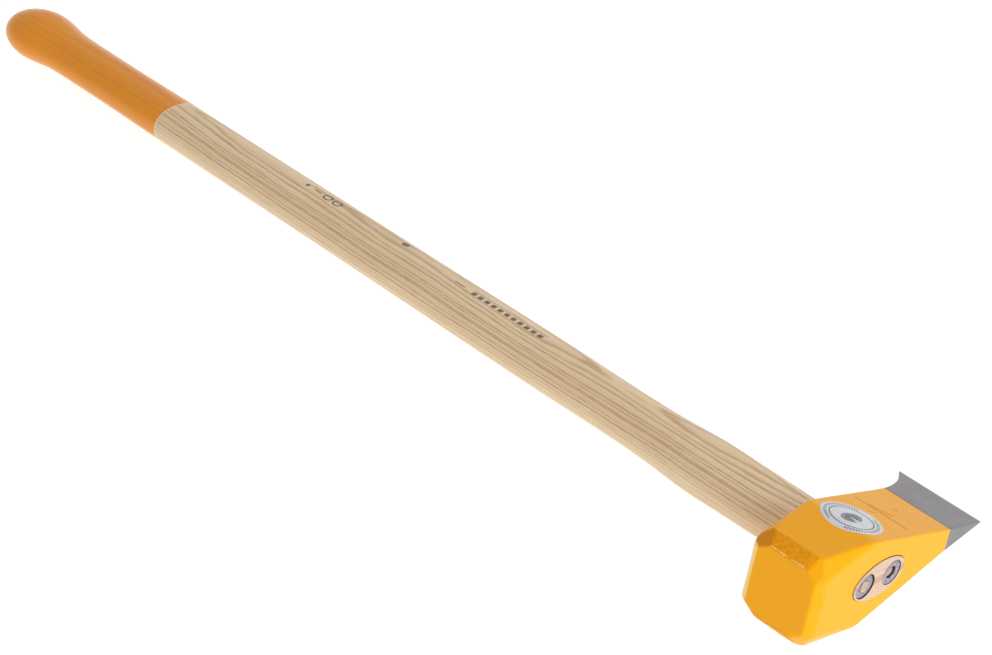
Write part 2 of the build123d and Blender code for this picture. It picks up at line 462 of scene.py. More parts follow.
def bit_skin():
    """The bare bit: a rounded rectangle, tall across the cutting edge, carried along X.

    Its half thickness falls in a straight line to the edge, and its lower side drops in an arc.
    The first rows lie inside the lacquered head.
    """
    inner_run, tip_run = STEEL_X - np.array([5, 0.3]), EDGE_X - np.array([0.6, 0.3, 0.1, 0])
    run = np.concatenate([inner_run, np.linspace(STEEL_X - 0.05, EDGE_X - 1, 60), tip_run])
    sunk = np.where(run < STEEL_X - 0.1, 0.9, BIT_SUNK)
    half = STEEL_HALF - BIT_SLOPE * (run - STEEL_X) - sunk
    half[-4:] = (0.5, 0.42, 0.3, 0.14)  # the last rows round the edge off
    drop_radius = ((EDGE_X - STEEL_X) ** 2 + (BIT_WIDTH - HEAD_HEIGHT) ** 2) / (2 * (BIT_WIDTH - HEAD_HEIGHT))
    reach = np.clip(run - STEEL_X, 0, None)
    low = -HEAD_HEIGHT + sunk - (drop_radius - np.sqrt(drop_radius**2 - reach**2))
    high = -sunk
    along_side = np.linspace(0, 1, 74)
    round_by = np.minimum(0.45, half * 0.45)
    sections = []
    for side in (1, -1):
        z_share = along_side if side > 0 else 1 - along_side
        level = low[:, None] + round_by[:, None] + (high - low - 2 * round_by)[:, None] * z_share
        y = np.broadcast_to(side * half[:, None], level.shape)
        sections.append(np.stack([np.broadcast_to(run[:, None], level.shape), y, level], axis=-1))
        end = high if side > 0 else low
        turn = np.linspace(0, 1, 16)[1:-1] * pi
        bend = np.abs(np.cos(turn)) ** (1 / 6) * np.sign(np.cos(turn))
        lift = np.abs(np.sin(turn)) ** (1 / 2)
        y = side * half[:, None] * bend
        level = end[:, None] + side * (lift[None] - 1) * round_by[:, None]
        sections.append(np.stack([np.broadcast_to(run[:, None], level.shape), y, level], axis=-1))
    skin = np.concatenate(sections, axis=1)
    rows, columns = skin.shape[:2]
    shell = grid_faces(rows, columns).tolist()
    caps = [list(range(columns)), [(rows - 1) * columns + i for i in range(columns)]]
    return skin, shell + caps


# ---- The handle ---------------------------------------------------------------------------


def handle_half(z):
    """Half width in X at z: a cubic through HALF_WIDTHS, then a quarter oval at the knob."""
    depths = np.array([d for d, _ in HALF_WIDTHS], float)
    widths = np.array([w for _, w in HALF_WIDTHS], float)
    slopes = np.gradient(widths, depths)
    slopes[0] = slopes[-1] = 0
    depth = np.clip(-z, depths[0], depths[-1])
    k = np.clip(np.searchsorted(depths, depth) - 1, 0, len(depths) - 2)
    gap = depths[k + 1] - depths[k]
    t = (depth - depths[k]) / gap
    body = (
        (2 * t**3 - 3 * t**2 + 1) * widths[k]
        + (t**3 - 2 * t**2 + t) * gap * slopes[k]
        + (3 * t**2 - 2 * t**3) * widths[k + 1]
        + (t**3 - t**2) * gap * slopes[k + 1]
    )
    past = np.clip((KNOB_Z - z) / (HANDLE_LENGTH + KNOB_Z), 0, 1)
    return np.where(z < KNOB_Z, KNOB_HALF * np.sqrt(1 - past**2), body)


def eye_half(z, clearance=0.0):
    """Half length and half width of the tapered eye at z."""
    rise = 1 + z / HEAD_HEIGHT
    return tuple(b + (t - b) * rise - clearance for b, t in zip(EYE_BOTTOM, EYE_TOP))


def coat_end_z(sizes):
    """Where the dip coat ends."""
    return sizes.coat_length / MM - HANDLE_LENGTH


def handle_side(columns, sizes):
    """The handle's side from the knob's tip to the edge of its end face.

    An oval with slightly squared shoulders is carried along Z at the handle's half width. The
    dipped grip is one coat thicker, with a rounded lip, and the tongue follows the eye's taper.
    """
    angle = np.linspace(0, 2 * pi, columns, endpoint=False)
    coat_end = coat_end_z(sizes)
    dome = KNOB_Z - (HANDLE_LENGTH + KNOB_Z) * np.cos(np.linspace(0.03, pi / 2, 26))
    lip = coat_end + np.array([-2.5, -1.2, -0.5, -0.2, 0, 0.03])
    grip = np.linspace(KNOB_Z, coat_end - 5, 52)[1:]
    shaft = np.linspace(coat_end + 3, -HEAD_HEIGHT, 150)
    z = np.concatenate([dome, grip, lip, shaft])
    half = handle_half(z)
    covered = np.clip((coat_end - z) / 0.6, 0, 1) ** 0.5
    half = half - sizes.coat_thickness / MM * (1 - covered)
    squareness = 2 + 0.22 * np.clip((z + 840) / 60, 0, 1)
    power = 2 / squareness[:, None]
    x = half[:, None] * np.sign(np.cos(angle)) * np.abs(np.cos(angle)) ** power
    y = half[:, None] / OVAL * np.sign(np.sin(angle)) * np.abs(np.sin(angle)) ** power
    outside = np.stack([x, y, np.broadcast_to(z[:, None], x.shape)], axis=-1)
    shrunk = SHRINKAGE * np.clip(np.cos(angle), 0, 1) ** 2
    tongue = []
    levels = [(z, 0.08) for z in (-HEAD_HEIGHT + 0.05, -50, -40, -30, -20, -10, -4, -1, -0.2)]
    for t in np.linspace(0.1, 1, 5) * pi / 2:
        levels.append((WOOD_TOP - 0.45 * (1 - sin(t)), 0.08 + 0.45 * (1 - cos(t))))
    for level, clearance in levels:
        a, b = eye_half(level, clearance)
        top_share = np.clip(1 + level / 12, 0, 1)
        tongue.append([a * np.cos(angle) - shrunk * top_share, b * np.sin(angle), np.full(columns, level)])
    tongue = np.array(tongue).transpose(0, 2, 1)
    return np.concatenate([outside, tongue])


def gap_shade_share(points):
    """1 on the wood's upright walls in the gaps round it and its rings, painted shade darkening them, and 0
    on top.
    """
    x, y, z = points[..., 0], points[..., 1], points[..., 2]
    painted_shade = (z < -0.1) & (z > -SHADE_DEPTH)
    for ring in (POLL_RING, EDGE_RING):
        in_seat = np.hypot(x - ring["x"] - ring["seat_shift"], y) < ring["outer"] + ring["seat_gap"] + 0.02
        in_core = np.hypot(x - ring["x"] - ring["core_shift"], y) < ring["inner"] - ring["core_gap"] - 0.1
        painted_shade |= in_seat & (z < WOOD_TOP - 0.1) & (z > -SHADE_DEPTH)
        painted_shade &= ~(in_core & (z > ring["core"] - 0.1))
    return painted_shade.astype(float)


def ring_plate(outline, ring):
    """Half of the end face round one ring wedge: its outline drawn in to circles about the ring.

    Going inwards it is flat to the ring, drops into the ring's seat, rises again inside it and
    closes at the centre.
    """
    seat_centre = np.array([ring["x"] + ring["seat_shift"], 0])
    core_centre = np.array([ring["x"] + ring["core_shift"], 0])
    away = outline[:, :2] - seat_centre
    distance = np.linalg.norm(away, axis=1)
    direction = away / distance[:, None]
    outer, inner = ring["outer"] + ring["seat_gap"], ring["inner"] - ring["core_gap"]
    seat = ring["top"] - SEAT_DEPTH
    points = []
    for share in np.linspace(1, 0, 14):
        spread = outer + (distance - outer) * share
        flat = seat_centre + direction * spread[:, None]
        points.append(np.column_stack([flat, np.full(len(flat), WOOD_TOP)]))
    rings = [(seat_centre, outer - 0.08, WOOD_TOP - 0.12), (seat_centre, outer - 0.12, seat)]
    rings += [(core_centre, inner + 0.1, seat), (core_centre, inner + 0.02, ring["core"] - 0.25)]
    rings += [(core_centre, inner - 0.2, ring["core"])]
    rings += [(core_centre, inner * share, ring["core"]) for share in (0.75, 0.5, 0.25)]
    for centre, reach, level in rings:
        flat = centre + direction * reach
        points.append(np.column_stack([flat, np.full(len(flat), level)]))
    points = np.array(points)
    count = points.shape[1]
    rows = len(points)
    faces = grid_faces(rows, count).tolist()
    tip = np.array([[*core_centre, ring["core"]]])
    last = (rows - 1) * count
    faces += [[last + i, last + (i + 1) % count, rows * count] for i in range(count)]
    return np.concatenate([points.reshape(-1, 3), tip]), faces


def handle_parts(columns, sizes):
    """The side, the closed tip of the knob and the two halves of the end face."""
    side = handle_side(columns, sizes)
    rows = len(side)
    faces = grid_faces(rows, columns).tolist()
    tip = np.array([[0, 0, -HANDLE_LENGTH]])
    faces += [[rows * columns, (i + 1) % columns, i] for i in range(columns)]
    rim = side[-1]
    between = np.linspace(rim[DIVIDE], rim[columns - DIVIDE], 40)[1:-1]
    poll_side = np.concatenate([rim[DIVIDE : columns - DIVIDE + 1], between[::-1]])
    edge_side = np.concatenate([rim[columns - DIVIDE :], rim[: DIVIDE + 1], between])
    return [
        (np.concatenate([side.reshape(-1, 3), tip]), faces),
        ring_plate(poll_side, POLL_RING),
        ring_plate(edge_side, EDGE_RING),
    ]


def kerf_block(first, last, top, bottom=-20):
    """A closed block of the kerf's wedge, from the curve first(y) to the curve last(y) in X."""
    y = np.linspace(-KERF_HALF, KERF_HALF, 17)
    across = np.linspace(0, 1, 13)
    x = first(y)[:, None] + (last(y) - first(y))[:, None] * across
    level_y = np.broadcast_to(y[:, None], x.shape)
    upper = np.stack([x, level_y, np.full(x.shape, top)], axis=-1)
    lower = np.stack([x, level_y, np.full(x.shape, float(bottom))], axis=-1)
    index = np.arange(x.size).reshape(x.shape)
    quads = np.stack([index[:-1, :-1], index[1:, :-1], index[1:, 1:], index[:-1, 1:]], axis=-1)
    quads = quads.reshape(-1, 4)
    edge = np.concatenate([index[0, :-1], index[:-1, -1], index[-1, :0:-1], index[:0:-1, 0]])
    walls = np.stack([edge, np.roll(edge, -1), np.roll(edge, -1) + x.size, edge + x.size], axis=-1)
    faces = quads.tolist() + (quads[:, ::-1] + x.size).tolist() + walls.tolist()
    return np.concatenate([upper.reshape(-1, 3), lower.reshape(-1, 3)]), faces


def kerf_parts():
    """What shows of the wooden wedge: three runs on the end face and one inside each ring."""

    def arc(ring, shift, radius, side):
        return lambda y: ring["x"] + shift + side * np.sqrt(radius**2 - y**2)

    def seat(ring, side):
        return arc(ring, ring["seat_shift"], ring["outer"] + ring["seat_gap"] + 0.05, side)

    def oval(side):
        a, b = eye_half(WOOD_TOP, 0.6)
        return lambda y: side * a * np.sqrt(1 - (y / b) ** 2) - max(side, 0) * SHRINKAGE

    proud = WOOD_TOP + 0.12
    blocks = [
        kerf_block(oval(-1), seat(POLL_RING, -1), proud),
        kerf_block(seat(POLL_RING, 1), seat(EDGE_RING, -1), proud),
        kerf_block(seat(EDGE_RING, 1), oval(1), proud),
    ]
    for ring in (POLL_RING, EDGE_RING):
        shift, radius = ring["core_shift"], ring["inner"] - ring["core_gap"] - 0.2
        sides = [arc(ring, shift, radius, side) for side in (-1, 1)]
        blocks.append(kerf_block(*sides, ring["core"] + 0.1))
    return blocks


# ---- Ring wedges and label ----------------------------------------------------------------


def ring_part(ring):
    """A steel tube turned round the ring's axis: rounded rims, thinned inside to its driven end."""
    top, driven = ring["top"], ring["top"] - RING_DEPTH
    turn = np.linspace(0, pi / 2, 5)
    soft = 0.45
    inner_rim = [(ring["inner"] + soft * (1 - cos(t)), top - soft * (1 - sin(t))) for t in turn]
    outer_rim = [(ring["outer"] - soft * (1 - sin(t)), top - soft * (1 - cos(t))) for t in turn]
    groove = (ring["inner"] + ring["outer"]) / 2
    face = [(groove - 1.1, top), (groove - 0.7, top - 0.08), (groove + 0.7, top - 0.08), (groove + 1.1, top)]
    foot_outer = ring["outer"] - RING_TAPER
    foot = [(foot_outer, driven), (foot_outer - RING_LIP, driven)]
    profile = np.array(inner_rim + face + outer_rim + foot)
    angle = np.linspace(0, 2 * pi, 144, endpoint=False)
    x = ring["x"] + profile[:, :1] * np.cos(angle)
    y = profile[:, :1] * np.sin(angle)
    z = np.broadcast_to(profile[:, 1:], x.shape)
    return np.stack([x, y, z], axis=-1), grid_faces(len(profile), len(angle), rows_closed=True)


def label_part(sizes):
    """A round film on the cheek, bent over the crease: a polar grid with a rounded rim."""
    angle = np.linspace(0, 2 * pi, 144, endpoint=False)
    radius, thick = sizes.radius / MM, sizes.thickness / MM
    reach = np.concatenate([np.linspace(0.5, radius - 0.15, 40), radius - np.array([0.06, 0.0])])
    lift = np.concatenate([np.full(40, thick), [thick * 0.8, thick * 0.45]])
    reach = np.concatenate([reach, reach[-3::-1]])
    lift = np.concatenate([lift, np.full(len(reach) - len(lift), -0.25)])
    x = LABEL_X + reach[:, None] * np.cos(angle)
    z = LABEL_Z + reach[:, None] * np.sin(angle)
    y = cheek_half(x) - 0.1 + lift[:, None]
    rows, columns = x.shape
    faces = grid_faces(rows, columns).tolist()
    faces += [list(range(columns)), [(rows - 1) * columns + i for i in range(columns)]]
    return np.stack([x, y, z], axis=-1), faces


# ---- Finishes -----------------------------------------------------------------------------


def linear(colour):
    """An sRGB hex colour such as #e0a020 as linear red, green, blue and alpha."""
    channels = [int(colour[i : i + 2], 16) / 255 for i in (1, 3, 5)]
    return tuple(c / 12.92 if c <= 0.04045 else ((c + 0.055) / 1.055) ** 2.4 for c in channels) + (1,)


def add_node(tree, kind, inputs=(), output=None, **settings):
    """Adds a shader node with its settings, and sets or links its inputs, by name or in order.

    Returns the named output, or the first one in use. An input is a value, or another node's output.
    """
    node = tree.nodes.new("ShaderNode" + kind)
    for name, value in settings.items():
        setattr(node, name, value)
    usable = [socket for socket in node.inputs if socket.enabled]
    named = inputs.items() if isinstance(inputs, dict) else enumerate(inputs)
    for name, value in named:
        socket = usable[name] if isinstance(name, int) else next(s for s in usable if s.name == name)
        if isinstance(value, bpy.types.NodeSocket):
            tree.links.new(value, socket)
        else:
            socket.default_value = value
    return next((s for s in node.outputs if s.enabled and output in (None, s.name)), None)


def new_finish(name):
    """An empty material, add_node bound to its tree, and the own-frame place in millimetres."""
    finish = bpy.data.materials.new(name)
    finish.use_nodes = True
    finish.node_tree.nodes.clear()
    add = partial(add_node, finish.node_tree)
    place = add("TexCoord", output="Object")
    turned = OWN_AXES.T
    own = add(
        "Mapping",
        {
            "Vector": place,
            "Location": tuple(-(turned @ OWN_ORIGIN) / MM),
            "Rotation": tuple(Matrix(turned.tolist()).to_euler("XYZ")),
            "Scale": (1 / MM,) * 3,
        },
    )
    return finish, add, own


def lacquer_finish(colours):
    """Yellow alkyd enamel, dipped and stoved on a forging.

    It is a glossy skin with orange peel, dull with gritty grains on the rough bevels. It is painted
    pale as a highlight along the burr and the underside's rim, and darker as shade on its poll corners.
    """
    finish, add, own = new_finish("yellow_stoved_enamel")
    broad = add("TexNoise", {"Vector": own, "Scale": 1 / 26, "Detail": 2.0})
    speckle = add("TexNoise", {"Vector": own, "Scale": 1 / 1.3, "Detail": 3.0})
    peel = add("TexNoise", {"Vector": own, "Scale": 1 / 2.2, "Detail": 1.5})
    streaky = add("Mapping", {"Vector": own, "Scale": (1 / 0.9, 1 / 0.9, 1 / 2.2)})
    grit = add("TexNoise", {"Vector": streaky, "Scale": 1.0, "Detail": 4.0})
    axes = add("SeparateXYZ", (own,)).node
    side = add("Math", (axes.outputs["Y"],), operation="ABSOLUTE")
    # The bevel plane in X and |Y|: 1 close to it, 0 a millimetre and a half away.
    slant = unit(np.array([POLL_HALF - BODY_HALF, SHOULDER_X - POLL_X]))
    across = add("Math", (axes.outputs["X"], slant[0]), operation="MULTIPLY")
    offset = -(POLL_X * slant[0] + POLL_HALF * slant[1])
    depth = add("Math", (side, slant[1], across), operation="MULTIPLY_ADD")
    depth = add("Math", (depth, offset), operation="ADD")
    depth = add("Math", (depth,), operation="ABSOLUTE")
    rough_zone = add(
        "MapRange", {"Value": depth, "From Min": 1.6, "From Max": 0.5}, interpolation_type="SMOOTHSTEP"
    )
    tint = add("Mix", (broad, linear(colours.lacquer), linear(colours.lacquer_deep)), data_type="RGBA")
    rough_share = add("Math", (rough_zone, 0.75), operation="MULTIPLY")
    tint = add("Mix", (rough_share, tint, linear(colours.lacquer_rough)), data_type="RGBA")
    dark = add("MapRange", {"Value": speckle, "From Min": 0.58, "From Max": 0.72, "To Max": 0.16})
    gritty = add("Math", (rough_zone, 0.26), operation="MULTIPLY")
    pits = add("MapRange", {"Value": grit, "From Min": 0.45, "From Max": 0.62})
    gritty = add("Math", (gritty, pits), operation="MULTIPLY")
    dark = add("Math", (dark, gritty), operation="ADD")
    score = add("Attribute", attribute_name="score", output="Fac")
    dark = add("Math", (score, 0.75, dark), operation="MULTIPLY_ADD", use_clamp=True)
    colour = add("Mix", (dark, tint, linear(colours.lacquer_pit)), data_type="RGBA")
    layers = (
        # painted shade on the underside's poll corners
        ("thick", colours.lacquer_corner_shade),
        # painted highlight along the underside's rim and the poll's under bevel
        ("painted_highlight", colours.lacquer_highlight),
        # painted highlight on the burr's ridge
        ("burr", colours.lacquer_highlight),
        # bare steel of the eye wall, darkened with painted shade
        ("bore", colours.bore),
    )
    for name, layer in layers:
        share = add("Attribute", attribute_name=name, output="Fac")
        colour = add("Mix", (share, colour, linear(layer)), data_type="RGBA")
    gloss = add(
        "MapRange", {"Value": speckle, "From Min": 0.3, "From Max": 0.7, "To Min": 0.27, "To Max": 0.37}
    )
    gloss = add("Math", (rough_zone, 0.16, gloss), operation="MULTIPLY_ADD")
    height = add("Math", (peel, 0.02), operation="MULTIPLY")
    grains = add("Math", (grit, rough_zone), operation="MULTIPLY")
    height = add("Math", (grains, 0.2, height), operation="MULTIPLY_ADD")
    bump = add("Bump", {"Height": height, "Distance": MM})
    shader = add(
        "BsdfPrincipled",
        {"Base Color": colour, "Roughness": gloss, "Normal": bump, "IOR": 1.33, "Specular IOR Level": 0.32},
    )
    add("OutputMaterial", {"Surface": shader})
    return finish


def bit_finish(colours):
    """Tool steel, belt ground across the bit and lightly oiled.

    It is a dull grey metal whose scratches run towards the edge, with a finer, brighter strip
    along the honed edge.
    """
    finish, add, own = new_finish("belt_ground_tool_steel")
    # Belt scratches are a few hundredths wide; they are drawn 0.35 mm wide so that they show.
    lines = add("Mapping", {"Vector": own, "Scale": (1 / 16, 1 / 0.35, 1 / 0.35)})
    scratches = add("TexNoise", {"Vector": lines, "Scale": 1.0, "Detail": 3.0})
    cloud = add("TexNoise", {"Vector": own, "Scale": 1 / 14, "Detail": 3.0})
    tone = add("Math", (cloud, 0.45, 0.1), operation="MULTIPLY_ADD")
    tone = add("Math", (scratches, 0.5, tone), operation="MULTIPLY_ADD")
    axes = add("SeparateXYZ", (own,)).node
    honed = add(
        "MapRange", {"Value": axes.outputs["X"], "From Min": 112.6, "From Max": 113.4, "To Max": 0.5}
    )
    tone = add("Math", (tone, honed), operation="ADD")
    colour = add("Mix", (tone, linear(colours.steel_dark), linear(colours.steel_light)), data_type="RGBA")
    rough = add(
        "MapRange", {"Value": scratches, "From Min": 0.3, "From Max": 0.7, "To Min": 0.34, "To Max": 0.5}
    )
    bump = add("Bump", {"Height": scratches, "Strength": 0.6, "Distance": 0.02 * MM})
    shader = add(
        "BsdfPrincipled", {"Base Color": colour, "Metallic": 1.0, "Roughness": rough, "Normal": bump}
    )
    add("OutputMaterial", {"Surface": shader})
    return finish


def ash_finish(colours, sizes):
    """European ash, turned, sanded and waxed, its grip dipped in orange translucent lacquer.

    Growth rings are near-flat layers crossed by the oval, so the wide face shows broad arched
    lines and the narrow face tight straight ones. Early wood is a line of coarse open pores.
    """
    finish, add, own = new_finish("waxed_ash_dipped_grip")
    x, y, z = add("SeparateXYZ", (own,)).node.outputs

    # Each streaky noise: its width across the grain, its length along it and its detail. Fibres
    # and pores are hair thin; they are drawn 0.6 and 0.5 mm wide so that they show.
    kinds = (
        ("drift", 30, 150, 1.0),
        ("wobble", 7, 38, 1.0),
        ("fibre", 0.6, 45, 2.0),
        ("pores", 0.5, 9, 0.0),
        ("cloud", 22, 120, 2.0),
    )
    streaks = {}
    for name, width, run, detail in kinds:
        stretched = add("Mapping", {"Vector": own, "Scale": (1 / width, 1 / width, 1 / run)})
        streaks[name] = add("TexNoise", {"Vector": stretched, "Scale": 1.0, "Detail": detail})
    fibre, cloud = streaks["fibre"], streaks["cloud"]

    # Distance across the rings: a tilted plane, dished a little, bowed along the handle.
    square = add("Math", (x, x), operation="MULTIPLY")
    bow = add("Math", (z, 440.0), operation="ADD")
    bow = add("Math", (bow, 1 / 190), operation="MULTIPLY")
    bow = add("Math", (bow, bow), operation="MULTIPLY")
    bow = add("Math", (bow, -1.0), operation="MULTIPLY")
    bow = add("Math", (bow,), operation="EXPONENT")
    shares = (
        (x, sin(sizes.ring_tilt)),
        (y, cos(sizes.ring_tilt)),
        (square, -0.004),
        (bow, sizes.ring_bow / MM),
        (streaks["drift"], 5.0),
        (streaks["wobble"], 1.1),
    )
    level = 0.0
    for value, share in shares:
        level = add("Math", (value, share, level), operation="MULTIPLY_ADD")
    rings = add("Math", (level, MM / sizes.ring_width), operation="MULTIPLY")

    # Good and bad years: the spacing itself drifts, and each ring has its own strength.
    years = add("Math", (rings, 0.45), operation="MULTIPLY")
    years = add("TexNoise", {"W": years, "Scale": 1.0, "Detail": 0.0}, noise_dimensions="1D")
    rings = add("Math", (years, 1.6, rings), operation="MULTIPLY_ADD")
    year = add("Math", (rings,), operation="FLOOR")
    strength = add("TexWhiteNoise", {"W": year}, noise_dimensions="1D")
    phase = add("Math", (rings,), operation="FRACT")
    early = add("ValToRGB", (phase,))
    ramp = early.node.color_ramp
    ramp.interpolation = "EASE"
    stops = ((0.0, 0.5), (0.08, 1.0), (0.22, 0.9), (0.46, 0.2), (0.9, 0.0), (1.0, 0.5))
    while len(ramp.elements) < len(stops):
        ramp.elements.new(0.5)
    for element, (position, value) in zip(ramp.elements, stops):
        element.position = position
        element.color = (value, value, value, 1)
    strength = add("Math", (strength, 0.6, 0.4), operation="MULTIPLY_ADD")
    early = add("Math", (early, strength), operation="MULTIPLY")
    pores = add("MapRange", {"Value": streaks["pores"], "From Min": 0.56, "From Max": 0.68})
    pores = add("Math", (pores, early), operation="MULTIPLY")

    wood = add("Mix", (cloud, linear(colours.ash_pale), linear(colours.ash_warm)), data_type="RGBA")
    lines = add("Math", (early, sizes.ring_contrast), operation="MULTIPLY")
    open_pores = add("Math", (pores, 0.5), operation="MULTIPLY")
    for share, layer in ((lines, colours.ash_line), (open_pores, colours.ash_pore)):
        wood = add("Mix", (share, wood, linear(layer)), data_type="RGBA")
    streak = add(
        "MapRange", {"Value": fibre, "From Min": 0.3, "From Max": 0.7, "To Min": 0.9, "To Max": 1.07}
    )
    wood = add("Mix", (1.0, wood, streak), data_type="RGBA", blend_type="MULTIPLY")

    # The end face is sawn across the grain and drinks the wax: pinker and paler, with open dots.
    end = add("MapRange", {"Value": z, "From Min": -3.4, "From Max": -3.0})
    dots = add("TexNoise", {"Vector": own, "Scale": 1 / 0.8, "Detail": 2.0})
    dots = add("MapRange", {"Value": dots, "From Min": 0.42, "From Max": 0.66, "To Max": 0.6})
    sawn = add("Mix", (dots, linear(colours.end_pale), linear(colours.end_dark)), data_type="RGBA")
    sawn = add("Mix", (0.25, sawn, wood), data_type="RGBA")
    wood = add("Mix", (end, wood, sawn), data_type="RGBA")

    # Painted shade in the gaps, the printed marks, and a raw pale line beside the dip coat.
    coat_end = coat_end_z(sizes)
    painted_shade = add("Attribute", attribute_name="painted_shade", output="Fac")
    raw = {"Value": z, "From Min": coat_end + 1.5, "From Max": coat_end + 0.5, "To Max": 0.7}
    layers = (
        (painted_shade, colours.painted_shade),
        (printed_marks(add, own, x, y, z), colours.ink),
        (add("MapRange", raw), colours.ash_raw),
    )
    for share, layer in layers:
        wood = add("Mix", (share, wood, linear(layer)), data_type="RGBA")

    # The dip coat lets the early wood show through as darker streaks.
    dipped = add("MapRange", {"Value": z, "From Min": coat_end + 0.15, "From Max": coat_end - 0.15})
    through = add("Math", (early, 0.3), operation="MULTIPLY")
    through = add("Math", (cloud, 0.35, through), operation="MULTIPLY_ADD")
    dip = add("Mix", (through, linear(colours.dip), linear(colours.dip_deep)), data_type="RGBA")
    colour = add("Mix", (dipped, wood, dip), data_type="RGBA")

    worn = {"Value": fibre, "From Min": 0.3, "From Max": 0.7, "To Min": 0.4, "To Max": 0.5}
    rough = add("Mix", (dipped, add("MapRange", worn), 0.3))
    relief = 0.0
    for value, share in ((fibre, 0.02), (early, -0.02), (pores, -0.03)):
        relief = add("Math", (value, share, relief), operation="MULTIPLY_ADD")
    filled = add("MapRange", {"Value": dipped, "To Min": 1.0, "To Max": 0.35})
    relief = add("Math", (relief, filled), operation="MULTIPLY")
    bump = add("Bump", {"Height": relief, "Distance": MM})
    shader = add("BsdfPrincipled", {"Base Color": colour, "Roughness": rough, "Normal": bump, "IOR": 1.48})
    add("OutputMaterial", {"Surface": shader})
    return finish


def printed_marks(add, own, x, y, z):
    """A 0 to 1 mask of plain ink marks: sums of boxes and rings on the +Y face."""
    # Each mark: z from, z to, x from, x to, pitch along z or 0, share of the pitch that is inked.
    boxes = (
        (-384, -311, -1.2, 3.2, 6.6, 0.62),
        (-384, -311, 4.6, 5.3, 0, 1),
        (-401, -391, 1.0, 2.2, 0, 1),
        (-552, -545, 3.2, 4.6, 0, 1),
    )
    total = 0.0
    for z_from, z_to, x_from, x_to, pitch, share in boxes:
        box = add("Math", (z, (z_from + z_to) / 2, (z_to - z_from) / 2), operation="COMPARE")
        across = add("Math", (x, (x_from + x_to) / 2, (x_to - x_from) / 2), operation="COMPARE")
        box = add("Math", (box, across), operation="MULTIPLY")
        if pitch:
            turn = add("Math", (z, 1 / pitch), operation="MULTIPLY")
            turn = add("Math", (turn,), operation="FRACT")
            bar = add("Math", (turn, share), operation="LESS_THAN")
            box = add("Math", (box, bar), operation="MULTIPLY")
        total = add("Math", (total, box), operation="ADD")
    # Each ring or dot: centre z and x, radius of its middle line, half its line's width.
    rounds = ((-538, 4.2, 3.6, 0.75), (-528, 4.2, 3.6, 0.75), (-560, 4.0, 0, 2.0), (-458, 7.5, 0, 3.2))
    flat = add("VectorMath", (own, (1, 0, 1)), operation="MULTIPLY")
    for centre_z, centre_x, radius, half in rounds:
        centre = (centre_x, 0, centre_z)
        away = add("VectorMath", (flat, centre), output="Value", operation="DISTANCE")
        spot = add("Math", (away, radius, half), operation="COMPARE")
        total = add("Math", (total, spot), operation="ADD")
    upper = add("Math", (y, 4.0), operation="GREATER_THAN")
    total = add("Math", (total, upper), operation="MULTIPLY", use_clamp=True)
    return add("Math", (total, 0.82), operation="MULTIPLY")


def kerf_finish(colours):
    """Steamed beech, split and driven: pinkish end grain with short dark flecks."""
    finish, add, own = new_finish("steamed_beech_end_grain")
    flecks = add("Mapping", {"Vector": own, "Scale": (1 / 1.6, 1 / 0.5, 1 / 3)})
    flecks = add("TexNoise", {"Vector": flecks, "Scale": 1.0, "Detail": 3.0})
    share = add("MapRange", {"Value": flecks, "From Min": 0.4, "From Max": 0.68, "To Max": 0.7})
    colour = add("Mix", (share, linear(colours.kerf), linear(colours.end_dark)), data_type="RGBA")
    bump = add("Bump", {"Height": flecks, "Strength": 0.8, "Distance": 0.08 * MM})
    shader = add("BsdfPrincipled", {"Base Color": colour, "Roughness": 0.62, "Normal": bump, "IOR": 1.45})
    add("OutputMaterial", {"Surface": shader})
    return finish


def ring_finish(name, ring, colours):
    """Mild steel tube, turned: fine concentric tool marks, dulled by the hammer that drove it."""
    finish, add, own = new_finish(name)
    centred = add("Mapping", {"Vector": own, "Location": (-ring["x"], 0, 0)})
    flat = add("VectorMath", (centred, (1, 1, 0)), operation="MULTIPLY")
    reach = add("VectorMath", (flat,), output="Value", operation="LENGTH")
    # Tool marks 0.5 mm apart, wider than real ones so that they show.
    marks = add("Math", (reach, 2 * pi / 0.5), operation="MULTIPLY")
    marks = add("Math", (marks,), operation="SINE")
    bruise = add("TexNoise", {"Vector": own, "Scale": 1 / 2.2, "Detail": 4.0})
    tone = add("MapRange", {"Value": bruise, "From Min": 0.34, "From Max": 0.66})
    colour = add("Mix", (tone, linear(colours.ring_dark), linear(colours.ring_light)), data_type="RGBA")
    rough = add(
        "MapRange", {"Value": bruise, "From Min": 0.3, "From Max": 0.7, "To Min": 0.5, "To Max": 0.36}
    )
    height = add("Math", (marks, 0.12, bruise), operation="MULTIPLY_ADD")
    bump = add("Bump", {"Height": height, "Strength": 0.7, "Distance": 0.1 * MM})
    shader = add(
        "BsdfPrincipled", {"Base Color": colour, "Metallic": 1.0, "Roughness": rough, "Normal": bump}
    )
    add("OutputMaterial", {"Surface": shader})
    return finish


